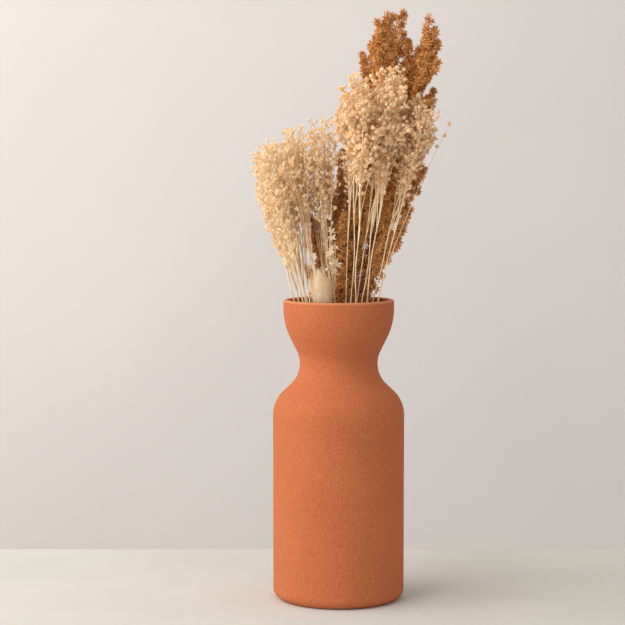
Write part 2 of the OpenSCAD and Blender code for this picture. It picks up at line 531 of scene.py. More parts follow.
def floret_shapes() -> bpy.types.Collection:
    """Make one of each floret, named so that the collection lists them in the order of Floret.

    Returns:
        A collection outside the scene, one unit to a floret's width.
    """
    rng = random.Random(11)
    # An open cup with a torn edge: out to the rim, over it, and down inside.
    cup = (
        (0.06, 0.0, 0), (0.2, 0.22, 0), (0.34, 0.5, 0),
        (0.5, 0.86, 0.3), (0.42, 0.84, 0.3), (0.2, 0.42, 0),
    )
    bud = ((0.05, 0.0, 0), (0.24, 0.3, 0), (0.27, 0.58, 0), (0.08, 0.92, 0))
    # A ribbed ball that ends in a small crown.
    boll = (
        (0.1, 0.0, 0), (0.38, 0.2, 0.08), (0.5, 0.5, 0.08),
        (0.4, 0.8, 0.08), (0.14, 0.95, 0), (0.2, 1.06, 0),
    )
    # A frilled disc: its edge rises and falls and it is open in the middle.
    ruffle = (
        (0.05, 0.0, 0), (0.3, 0.12, 0), (0.56, 0.34, 0.28),
        (0.54, 0.4, 0.28), (0.3, 0.26, 0.1), (0.08, 0.2, 0),
    )
    makers: dict[Floret, Callable[[str], bpy.types.Mesh]] = {
        Floret.CUP: lambda name: turned(name, 10, cup),
        Floret.BUD: lambda name: turned(name, 7, bud),
        Floret.BOLL: lambda name: turned(name, 8, boll),
        Floret.RUFFLE: lambda name: turned(name, 14, ruffle),
        Floret.HUSKS: lambda name: husk_knot(name, 9, rng),
        Floret.STAR: lambda name: star(name, 5),
    }
    shapes = bpy.data.collections.new("florets")
    for kind in Floret:
        name = f"floret-{kind.value}-{kind.name.lower()}"
        shapes.objects.link(bpy.data.objects.new(name, makers[kind](name)))
    return shapes


# ---------------------------------------------------------------- one stem's growth


@dataclass(frozen=True)
class StemLine:
    """Where a stem runs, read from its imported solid.

    Attributes:
        foot: centre of its cut end.
        axis: unit vector up along it.
        length: length from the cut end to the tip.
        outline: (distance along it, radius) of its solid, in order.
    """

    foot: Vector
    axis: Vector
    length: float
    outline: tuple[tuple[float, float], ...]

    @classmethod
    def of_stem(cls, stem: str) -> "StemLine":
        """Read a stem's line from its nodes and its lift joint.

        Args:
            stem: the stem's name.

        Returns:
            The stem's line.
        """
        axis = Vector(next(j["axis"] for j in frame["joints"] if j["name"] == stem + "_lift")).normalized()
        nodes = [n for n in (stem, stem + "_stalk", stem + "_head") if n in frame["nodes"]]
        points = [v.co.copy() for n in nodes for v in frame["nodes"][n].data.vertices]
        along = [p.dot(axis) for p in points]
        low, high = min(along), max(along)
        ends = [p for p, s in zip(points, along) if s < low + 0.05 * MM]
        foot = sum(ends, Vector()) / len(ends)
        foot += axis * (low - foot.dot(axis))
        widest: dict[float, float] = {}
        for p, s in zip(points, along):
            step = round(s - low, 4)
            away = (p - foot) - axis * (p - foot).dot(axis)
            widest[step] = max(widest.get(step, 0.0), away.length)
        return cls(foot, axis, high - low, tuple(sorted(widest.items())))

    def radius(self, along: float) -> float:
        """Radius of the stem's solid at a distance along it."""
        before = self.outline[0]
        for after in self.outline[1:]:
            if along <= after[0]:
                share = (along - before[0]) / max(after[0] - before[0], 1e-6)
                return before[1] + share * (after[1] - before[1])
            before = after
        return before[1]

    def at_height(self, z: float) -> float:
        """Distance along the stem at which it reaches a height."""
        return (z - self.foot.z) / self.axis.z

    def point(self, along: float, out: float = 0.0, turn: float = 0.0) -> Vector:
        """A point by its distance along the stem, out from its axis and turn about it."""
        side = self.axis.orthogonal().normalized()
        other = self.axis.cross(side)
        return self.foot + self.axis * along + out * (side * math.cos(turn) + other * math.sin(turn))


@dataclass
class Growth:
    """Twigs and florets of one stem, gathered before they are made solid.

    Attributes:
        points: every point of the twigs and every floret's seat.
        edges: pairs of twig points.
        widths: each point's twig radius, or a floret's width.
        kinds: each point's floret, or -1 for a twig point.
        aims: each floret's direction.
    """

    points: list[Vector] = field(default_factory=list)
    edges: list[tuple[int, int]] = field(default_factory=list)
    widths: list[float] = field(default_factory=list)
    kinds: list[int] = field(default_factory=list)
    aims: list[Vector] = field(default_factory=list)

    def twig(self, path: list[Vector], thick: float, thin: float) -> None:
        """Add a twig that tapers along a path.

        Args:
            path: its points.
            thick: radius at its first point.
            thin: radius at its last.
        """
        start = len(self.points)
        for k, point in enumerate(path):
            self.points.append(point)
            self.widths.append(thick + (thin - thick) * k / (len(path) - 1))
            self.kinds.append(-1)
            self.aims.append(Vector((0, 0, 1)))
        self.edges += [(start + k, start + k + 1) for k in range(len(path) - 1)]

    def floret(self, seat: Vector, aim: Vector, kind: Floret, width: float) -> None:
        """Add a floret.

        Args:
            seat: where its stalk ends.
            aim: the way it faces.
            kind: which one.
            width: its width.
        """
        self.points.append(seat)
        self.widths.append(width)
        self.kinds.append(kind.value)
        self.aims.append(aim.normalized())

    def mesh(self, name: str) -> bpy.types.Mesh:
        """Hand everything over as one wire mesh with its attributes."""
        mesh = bpy.data.meshes.new(name)
        mesh.from_pydata(self.points, self.edges, [])
        for label, kind, values in (("width", "FLOAT", self.widths), ("kind", "INT", self.kinds)):
            mesh.attributes.new(label, kind, "POINT").data.foreach_set("value", values)
        flat = [c for aim in self.aims for c in aim]
        mesh.attributes.new("aim", "FLOAT_VECTOR", "POINT").data.foreach_set("vector", flat)
        return mesh


def growth_tree() -> bpy.types.NodeTree:
    """Build the geometry tree that makes twigs round and sets florets on their seats.

    Returns:
        A tree with inputs Florets, Twig sides, Twig finish, Floret finish and Seed.
    """
    tree, given = geometry_tree("dried-growth", {
        "Florets": "Collection", "Twig sides": "Int", "Twig finish": "Material", "Floret finish": "Material",
        "Seed": "Int",
    })
    width = add(tree, "GeometryNodeInputNamedAttribute", {"data_type": "FLOAT"}, Name="width").outputs[0]
    kind = add(tree, "GeometryNodeInputNamedAttribute", {"data_type": "INT"}, Name="kind").outputs[0]
    aim = add(tree, "GeometryNodeInputNamedAttribute", {"data_type": "FLOAT_VECTOR"}, Name="aim").outputs[0]
    seat = add(
        tree, "FunctionNodeCompare", {"data_type": "INT", "operation": "GREATER_EQUAL"}, A_INT=kind, B_INT=0
    )
    wires = add(tree, "GeometryNodeMeshToCurve", Mesh=given["Geometry"])
    section = add(tree, "GeometryNodeCurvePrimitiveCircle", Resolution=given["Twig sides"], Radius=1.0)
    tubes = add(
        tree, "GeometryNodeCurveToMesh",
        Curve=wires.outputs[0], Profile_Curve=section.outputs[0], Scale=width, Fill_Caps=True,
    )
    twigs = add(tree, "GeometryNodeSetMaterial", Geometry=tubes.outputs[0], Material=given["Twig finish"])
    shapes = add(
        tree, "GeometryNodeCollectionInfo",
        Collection=given["Florets"], Separate_Children=True, Reset_Children=True,
    )
    spin = add(
        tree, "FunctionNodeRandomValue", {"data_type": "FLOAT"},
        Min_001=0.0, Max_001=2 * math.pi, Seed=given["Seed"],
    )
    turn = add(tree, "FunctionNodeAxisAngleToRotation", Axis=(0.0, 0.0, 1.0), Angle=spin.outputs[1])
    facing = add(
        tree, "FunctionNodeAlignRotationToVector", {"axis": "Z"}, Rotation=turn.outputs[0], Vector=aim
    )
    set_on = add(
        tree, "GeometryNodeInstanceOnPoints",
        Points=given["Geometry"], Selection=seat.outputs[0], Instance=shapes.outputs[0], Pick_Instance=True,
        Instance_Index=kind, Rotation=facing.outputs[0], Scale=width,
    )
    solid = add(tree, "GeometryNodeRealizeInstances", Geometry=set_on.outputs[0])
    florets = add(tree, "GeometryNodeSetMaterial", Geometry=solid.outputs[0], Material=given["Floret finish"])
    end_tree(tree, join(tree, twigs.outputs[0], florets.outputs[0]))
    return tree


@dataclass
class Nursery:
    """What every stem is grown with.

    Attributes:
        tree: the geometry tree of twigs and florets.
        florets: the floret shapes.
        finishes: the built material of each finish.
        twig_sides: points round a twig.
    """

    tree: bpy.types.NodeTree
    florets: bpy.types.Collection
    finishes: dict[DryPlant, bpy.types.Material]
    twig_sides: int = 6

    def grow(self, stem: str, part: str, growth: Growth, twig: DryPlant, floret: DryPlant, slot: str) -> None:
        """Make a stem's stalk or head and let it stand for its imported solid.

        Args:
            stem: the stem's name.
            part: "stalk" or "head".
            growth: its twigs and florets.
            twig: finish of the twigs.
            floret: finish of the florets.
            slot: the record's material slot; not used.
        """
        piece = grown(
            f"{stem}_{part}".replace("_", "-") + "-dried", growth.mesh(stem + "-growth"), self.tree,
            {
                "Florets": self.florets, "Twig sides": self.twig_sides, "Seed": len(growth.points),
                "Twig finish": self.finishes[twig], "Floret finish": self.finishes[floret],
            },
        )
        twigs = piece.data.materials.find(self.finishes[twig].name)
        for face in piece.data.polygons:
            face.use_smooth = face.material_index == twigs and len(face.vertices) == 4
        stand_in(piece, stem + "_stem", f"{stem}_{part}")


def wander(
    line: StemLine, start: float, end: float, out: tuple[float, float], turn: float, rng: random.Random,
    steps: int = 7, sway: float = 0.6 * MM,
) -> list[Vector]:
    """Lay a slightly crooked path along a stem.

    Args:
        line: the stem's line.
        start: distance along it at which the path begins.
        end: distance at which it ends.
        out: distance from the axis at both ends.
        turn: the side that it leaves to.
        rng: the source of its crookedness.
        steps: stretches in the path.
        sway: how far it strays.

    Returns:
        The path's points.
    """
    path = []
    for k in range(steps + 1):
        t = k / steps
        away = out[0] + (out[1] - out[0]) * (t ** 1.15)
        loose = sway * math.sin(math.pi * min(t * 1.3, 1.0))
        spot = line.point(start + (end - start) * t, max(away, 0.0), turn)
        path.append(spot + Vector((rng.uniform(-loose, loose), rng.uniform(-loose, loose), 0.0)))
    return path


def along_path(path: list[Vector], t: float) -> Vector:
    """The point at a share of the way along a path."""
    place = min(max(t, 0.0), 1.0) * (len(path) - 1)
    k = min(int(place), len(path) - 2)
    return path[k].lerp(path[k + 1], place - k)


# ---------------------------------------------------------------- the sprays


# The trimmed outline of the pale sprays, from left to right: sideways place and height, in mm.
SKYLINE: tuple[tuple[float, float], ...] = (
    (-84, 372), (-78, 400), (-65, 411), (-48, 419), (-35, 428), (-17, 431), (-4, 434), (-2, 462), (12, 467),
    (19, 472), (34, 481), (50, 475), (64, 467), (71, 457), (78, 445), (90, 434), (99, 424),
)
# The left outline of the pale sprays: sideways place at the mouth and at the skyline's first point.
LEFT_EDGE: tuple[tuple[float, float], tuple[float, float]] = ((-48.0, 275.0), (-79.0, 400.0))


def skyline(x: float) -> float:
    """Greatest height of the pale sprays at a sideways place."""
    before = SKYLINE[0]
    for after in SKYLINE[1:]:
        if x * 1000 <= after[0]:
            share = max((x * 1000 - before[0]) / (after[0] - before[0]), 0.0)
            return (before[1] + share * (after[1] - before[1])) * MM
        before = after
    return before[1] * MM


def left_edge(z: float) -> float:
    """Furthest left that a pale floret lies at a height."""
    (x0, z0), (x1, z1) = LEFT_EDGE
    return (x0 + (x1 - x0) * (z * 1000 - z0) / (z1 - z0)) * MM


@dataclass
class Stem:
    """One dried stem: a bare stalk, and a head that grows on its end.

    Attributes:
        stem: the stem's name.
        seed: seed of its growth.
        rim_z: height of the vase's rim.
    """

    stem: str
    seed: int
    rim_z: float

    def __post_init__(self) -> None:
        """Read the stem's line and seed its growth."""
        self.line = StemLine.of_stem(self.stem)
        self.rng = random.Random(self.seed)
        self.stalk, self.head = Growth(), Growth()

    def lay_stalk(self, split: float, thick: float, thin: float) -> None:
        """Lay the bare stalk.

        Args:
            split: distance along it at which the head begins.
            thick: radius at its foot.
            thin: radius where the head begins.
        """
        steps = 5
        self.stalk.twig([self.line.point(split * k / steps) for k in range(steps + 1)], thick, thin)

    def crooked(self, start: float, end: float, sway: float, steps: int = 9) -> list[Vector]:
        """A crooked path along the stem that starts on its line.

        Args:
            start: distance along it at which the path begins.
            end: distance at which it ends.
            sway: how far it strays.
            steps: stretches in the path.

        Returns:
            The path's points.
        """
        phase, turn = self.rng.uniform(1.6, 3.4), self.rng.uniform(0, 2 * math.pi)
        path = []
        for k in range(steps + 1):
            out = sway * math.sin(phase * math.pi * k / steps)
            path.append(self.line.point(start + (end - start) * k / steps, out, turn))
        return path


@dataclass
class Spray(Stem):
    """A pale spray: a stalk that splits above the mouth into fine twigs, each ending in florets.

    Attributes:
        forks: heights above the rim between which its fine twigs leave it.
        twigs: fine twigs that it splits into.
        sprigs: side sprigs on each twig.
        first: share of a twig's length at which florets begin.
        heads: florets, with the share of each.
        width: a floret's width.
        stalk_r: radius of the stalk.
        twig_r: radius of a fine twig.
        spread: how far the florets reach, as a share of the solid's radius.
        bare: height above the rim at which the bare stalk ends.
        tip_gap: how far below the solid's tip the twigs end.
        taper: how far below the tip the solid is still at its full width.
        sky_gap: how far below the skyline the twigs end.
        rise_mm: least and greatest rise of a side sprig.
        out_mm: least and greatest reach of a side sprig to the side.
        stray: tip of one long stray twig, or None.
        arch: how far the stray twig bows upward.
    """

    forks: tuple[float, float] = (0.0, 50 * MM)
    twigs: int = 10
    sprigs: int = 22
    first: float = 0.3
    heads: tuple[tuple[Floret, float], ...] = ((Floret.CUP, 1.0),)
    width: float = 4.0 * MM
    stalk_r: float = 0.8 * MM
    twig_r: float = 0.33 * MM
    spread: float = 2.2
    bare: float = 4 * MM
    tip_gap: float = 6 * MM
    taper: float = 14 * MM
    sky_gap: float = 8 * MM
    rise_mm: tuple[float, float] = (3.0, 9.0)
    out_mm: tuple[float, float] = (1.5, 7.0)
    stray: Vector | None = None
    arch: float = 6 * MM

    def build(self) -> None:
        """Grow the spray."""
        line, rng = self.line, self.rng
        split = line.at_height(self.rim_z + self.bare)
        self.lay_stalk(split, self.stalk_r, self.stalk_r * 0.8)
        forks = [line.at_height(self.rim_z + rng.uniform(*self.forks)) for _ in range(self.twigs)]
        spine = self.crooked(split, max(forks), 1.6 * MM)
        self.head.twig(spine, self.stalk_r * 0.8, self.twig_r * 1.3)
        for k, fork in enumerate(forks):
            turn = 2 * math.pi * (k + rng.uniform(-0.3, 0.3)) / self.twigs
            # One twig in three stays near the middle, so that the head is full inside.
            share = rng.uniform(0.1, 0.35) if k % 3 == 0 else rng.uniform(0.45, 0.95)
            top = line.length - self.tip_gap
            reach = self.spread * line.radius(line.length - self.taper) * share
            end = line.point(top, reach, turn)
            shorter = rng.uniform(0.0, 0.03) * (share > 0.4)
            top = min(top, line.at_height(skyline(end.x) - self.sky_gap)) - shorter
            path = wander(line, fork, top, (0.0, reach), turn, rng)
            path[0] = along_path(spine, (fork - split) / (max(forks) - split))
            self.head.twig(path, self.twig_r * 1.2, self.twig_r * 0.7)
            self.dress(path)
        if self.stray is not None:
            self.send_stray(line.point(split + 25 * MM))

    def send_stray(self, root: Vector) -> None:
        """Grow the long stray twig, with three bolls near its tip.

        Args:
            root: where it leaves the stalk.
        """
        path = [
            root.lerp(self.stray, t) + Vector((0, 0, self.arch * math.sin(math.pi * t)))
            for t in (0, 0.25, 0.5, 0.75, 1)
        ]
        self.head.twig(path, self.twig_r, self.twig_r * 0.7)
        for t in (0.82, 0.91, 1.0):
            aim = Vector((self.rng.uniform(-0.5, 1.0), 0.2, 1.0))
            self.head.floret(along_path(path, t), aim, Floret.BOLL, self.width)

    def dress(self, path: list[Vector]) -> None:
        """Set side sprigs and florets along one twig.

        Args:
            path: the twig's points.
        """
        line, rng = self.line, self.rng
        kinds, shares = zip(*self.heads)
        for k in range(self.sprigs):
            t = self.first + (1 - self.first) * (k + rng.uniform(0.0, 1.0)) / self.sprigs
            t = min(t, 1.0) ** 0.85
            root = along_path(path, t)
            along = (root - line.foot).dot(line.axis)
            widest = line.radius(min(along + 4 * MM, line.length - self.taper))
            room = max(self.spread * widest, 4 * MM)
            turn = rng.uniform(0, 2 * math.pi)
            aim_out = line.point(along, 1.0, turn) - line.point(along)
            rise = line.axis * rng.uniform(*self.rise_mm) * MM
            tip = root + rise + aim_out * rng.uniform(*self.out_mm) * MM
            beyond = (tip - line.foot) - line.axis * (tip - line.foot).dot(line.axis)
            if beyond.length > room:
                tip -= beyond.normalized() * (beyond.length - room)
            if tip.z > skyline(tip.x) or tip.x < left_edge(tip.z) - rng.uniform(0.0, 0.004):
                continue
            middle = root.lerp(tip, 0.5) + line.axis * 0.6 * MM
            self.head.twig([root, middle, tip], self.twig_r * 0.7, self.twig_r * 0.5)
            aim = line.axis * 0.9 + aim_out * rng.uniform(0.2, 1.0)
            kind = rng.choices(kinds, shares)[0]
            size = self.width * rng.uniform(0.7, 1.2) * (2.1 if kind is Floret.RUFFLE else 1.0)
            self.head.floret(tip, aim, kind, size)
            if rng.random() < 0.55:
                aside = (aim_out.cross(line.axis) * rng.choice((-1, 1)) + line.axis).normalized()
                seat = root.lerp(tip, 0.6) + aside * 1.2 * MM
                self.head.floret(seat, aside, kinds[0], self.width * rng.uniform(0.6, 0.9))


@dataclass
class SeedSpike(Stem):
    """A rust seed spike: a brown stalk set all round with husks, with short seeded side branches.

    Attributes:
        start: height above the rim at which the seed begins.
        per_mm: knots of husks for each millimetre of branch.
        width: a knot's width.
        side_branches: short branches set at random.
        fingers: tips of its longer branches, sideways and up from the spike's own tip.
        stalk_r: radius of the stalk at its foot.
        neck_r: radius of the stalk where the seed begins.
        tip_r: radius of the stalk at its tip.
        branch_r: radius of a short branch with its seed.
        finger_r: radius of a longer branch with its seed.
        lump: length of one swelling of the seed.
    """

    start: float = 0.0
    per_mm: float = 1.35
    width: float = 6.6 * MM
    side_branches: int = 7
    fingers: tuple[tuple[float, float], ...] = ()
    stalk_r: float = 1.5 * MM
    neck_r: float = 1.3 * MM
    tip_r: float = 0.6 * MM
    branch_r: float = 3.6 * MM
    finger_r: float = 4.4 * MM
    lump: float = 9 * MM

    def seeded(self, path: list[Vector], width: Callable[[float], float]) -> None:
        """Set husks all round a branch.

        Args:
            path: the branch's points.
            width: the branch's outer radius by the share of the way along it.
        """
        rng = self.rng
        length = sum((b - a).length for a, b in zip(path, path[1:]))
        way = (path[-1] - path[0]).normalized()
        side = way.orthogonal().normalized()
        other = way.cross(side)
        for _ in range(int(length / MM * self.per_mm)):
            t = rng.uniform(0.0, 1.0)
            turn = rng.uniform(0, 2 * math.pi)
            out = side * math.cos(turn) + other * math.sin(turn)
            away = max(width(t) * math.sqrt(rng.uniform(0.05, 1.0)) - 1.2 * MM, 0.0)
            aim = out + way * rng.uniform(0.3, 1.2)
            size = self.width * rng.uniform(0.65, 1.1)
            self.head.floret(along_path(path, t) + out * away, aim, Floret.HUSKS, size)

    def branch(self, tip: Vector, length: float, radius: float) -> None:
        """Grow a side branch out of the spike to a tip.

        Args:
            tip: where it ends.
            length: how far below the tip it leaves the spike.
            radius: its greatest radius.
        """
        along = (tip - self.line.foot).dot(self.line.axis) - length
        root = self.line.point(max(along, 0.0))
        sag = self.line.axis * 2.5 * MM
        path = [root.lerp(tip, t) + sag * -math.sin(math.pi * t) for t in (0, 0.33, 0.67, 1)]
        self.head.twig(path, 0.8 * MM, 0.4 * MM)
        self.seeded(path, lambda t: radius * min(1.0, 0.5 + t) * min(1.0, (1.12 - t) * 5))

    def build(self) -> None:
        """Grow the spike."""
        line, rng = self.line, self.rng
        split = line.at_height(self.rim_z + self.start)
        self.lay_stalk(split, self.stalk_r, self.neck_r)
        span = line.length - split
        steps = 12
        path = [line.point(split + (span - 2 * MM) * k / steps) for k in range(steps + 1)]
        self.head.twig(path, self.neck_r, self.tip_r)
        lumps = [rng.uniform(0.7, 1.1) for _ in range(int(span / self.lump) + 2)]

        def width(t: float) -> float:
            """Outer radius of the seed at a share of the way up: lumpy, and drawn in at both ends."""
            broad = (10.5 - 60.0 * max(t * span - 0.02, 0.0)) * MM
            full = max(line.radius(split + span * t), broad, 6.0 * MM) * lumps[int(span * t / self.lump)]
            return full * min(1.0, (1.04 - t) * span / (18 * MM)) * min(1.0, 0.5 + t * 6)

        self.seeded(path, width)
        for k in range(self.side_branches):
            low = split + span * (0.12 + 0.66 * (k + rng.uniform(0, 1)) / self.side_branches)
            high = low + rng.uniform(16.0, 26.0) * MM
            tip = line.point(high, rng.uniform(8.0, 13.0) * MM, rng.uniform(0, 2 * math.pi))
            self.branch(tip, high - low, self.branch_r)
        for across, up in self.fingers:
            tip = line.point(line.length) + Vector((across, rng.uniform(-0.003, 0.003), up))
            self.branch(tip, rng.uniform(38.0, 50.0) * MM, self.finger_r)


@dataclass
class StarSprig(Stem):
    """A short sprig of star florets in front of the bunch.

    Attributes:
        twigs: thin twigs, each with stars at its end.
    """

    twigs: int = 9

    def build(self) -> None:
        """Grow the sprig."""
        line, rng = self.line, self.rng
        split = line.at_height(self.rim_z + 4 * MM)
        self.lay_stalk(split, 0.8 * MM, 0.6 * MM)
        for k in range(self.twigs):
            turn = GOLDEN_TURN * k
            top = split + (line.length - split) * (0.3 + 0.7 * (k + 1) / self.twigs) - 3 * MM
            reach = rng.uniform(2.0, 4.5) * MM
            path = wander(line, split, top, (0.0, reach), turn, rng, steps=4, sway=0.4 * MM)
            self.head.twig(path, 0.35 * MM, 0.25 * MM)
            out = (line.point(top, 1.0, turn) - line.point(top)).normalized()
            self.head.floret(path[-1], line.axis + out * 1.4, Floret.STAR, rng.uniform(7.5, 9.5) * MM)
            self.head.floret(path[-2], line.axis * 0.4 - out, Floret.STAR, rng.uniform(5.0, 6.5) * MM)


# ---------------------------------------------------------------- bunny tail


@dataclass
class BunnyTail:
    """A hare's-tail grass head: a soft egg of cream hair on a thin stalk.

    Attributes:
        node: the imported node's name.
        hairs_per_mm2: hairs on each square millimetre of the egg.
        hair_l: a hair's length.
        hair_r: a hair's radius at its root, drawn thicker than a real one so that it shows.
        core: radius of the egg under the hair, as a share of the solid's.
        tail_l: length of the part that has hair.
        lean: how far the hair leans toward the tip.
        tousle: how far each hair strays from that.
        scale: least and greatest share of the hair's length.
        sides: points round the egg.
    """

    node: str
    hairs_per_mm2: float = 2.2
    hair_l: float = 5.0 * MM
    hair_r: float = 0.12 * MM
    core: float = 0.9
    tail_l: float = 35.0 * MM
    lean: float = 0.55
    tousle: float = 0.45
    scale: tuple[float, float] = (0.6, 1.15)
    sides: int = 20

    def tree(self) -> bpy.types.NodeTree:
        """Build the geometry tree that sets hair on the egg.

        Returns:
            A tree with inputs Density, Length, Root radius, Lean, Finish, Seed and From height.
        """
        tree, given = geometry_tree("tail-hair", {
            "Density": "Float", "Length": "Float", "Root radius": "Float", "Lean": "Vector",
            "Finish": "Material", "Seed": "Int", "From height": "Float",
        })
        position = add(tree, "GeometryNodeInputPosition").outputs[0]
        height = add(tree, "ShaderNodeSeparateXYZ", Vector=position).outputs["Z"]
        high = add(
            tree, "ShaderNodeMath", {"operation": "GREATER_THAN"},
            Value=height, Value_001=given["From height"],
        )
        roots = add(
            tree, "GeometryNodeDistributePointsOnFaces", {"distribute_method": "RANDOM"},
            Mesh=given["Geometry"], Selection=high.outputs[0], Density=given["Density"], Seed=given["Seed"],
        )
        hair = add(
            tree, "GeometryNodeMeshCone", {"fill_type": "NONE"}, Vertices=3, Side_Segments=2, Radius_Top=0.0,
            Radius_Bottom=given["Root radius"], Depth=given["Length"],
        )
        aim = add(
            tree, "ShaderNodeVectorMath", {"operation": "ADD"},
            Vector=roots.outputs["Normal"], Vector_001=given["Lean"],
        )
        loose = add(
            tree, "FunctionNodeRandomValue", {"data_type": "FLOAT_VECTOR"},
            Min=(-self.tousle,) * 3, Max=(self.tousle,) * 3, Seed=given["Seed"],
        )
        tousled = add(
            tree, "ShaderNodeVectorMath", {"operation": "ADD"},
            Vector=aim.outputs[0], Vector_001=loose.outputs[0],
        )
        facing = add(tree, "FunctionNodeAlignRotationToVector", {"axis": "Z"}, Vector=tousled.outputs[0])
        grow = add(
            tree, "FunctionNodeRandomValue", {"data_type": "FLOAT"},
            Min_001=self.scale[0], Max_001=self.scale[1], Seed=given["Seed"],
        )
        coat = add(
            tree, "GeometryNodeInstanceOnPoints",
            Points=roots.outputs["Points"], Instance=hair.outputs["Mesh"], Rotation=facing.outputs[0],
            Scale=grow.outputs[1],
        )
        solid = add(tree, "GeometryNodeRealizeInstances", Geometry=coat.outputs[0])
        both = join(tree, given["Geometry"], solid.outputs[0])
        finished = add(tree, "GeometryNodeSetMaterial", Geometry=both, Material=given["Finish"])
        end_tree(tree, finished.outputs[0])
        return tree

    def egg(self, line: StemLine) -> bpy.types.Mesh:
        """Make the stalk and the egg under the hair, as one turned skin.

        Args:
            line: the stem's line.

        Returns:
            The closed mesh.
        """
        bm = bmesh.new()
        rings = []
        for along, radius in line.outline:
            if radius < 0.3 * MM and along < line.length / 2:
                continue
            size = radius * self.core if radius > 1.0 * MM else max(radius, 0.5 * MM)
            turns = [2 * math.pi * k / self.sides for k in range(self.sides)]
            rings.append([bm.verts.new(line.point(along, size, turn)) for turn in turns])
        skin(bm, rings)
        return closed("tail-egg", bm)

    def build(self, finish: bpy.types.Material) -> None:
        """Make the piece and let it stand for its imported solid.

        Args:
            finish: the hair's material.
        """
        line = StemLine.of_stem(self.node)
        piece = grown(
            "bunny-tail-down", self.egg(line), self.tree(),
            {
                "Density": self.hairs_per_mm2 / MM**2, "Length": self.hair_l, "Root radius": self.hair_r,
                "Lean": tuple(line.axis * self.lean), "Finish": finish, "Seed": 5,
                "From height": line.point(line.length).z - self.tail_l,
            },
        )
        stand_in(piece, self.node + "_stem", self.node)


# ---------------------------------------------------------------- the vase


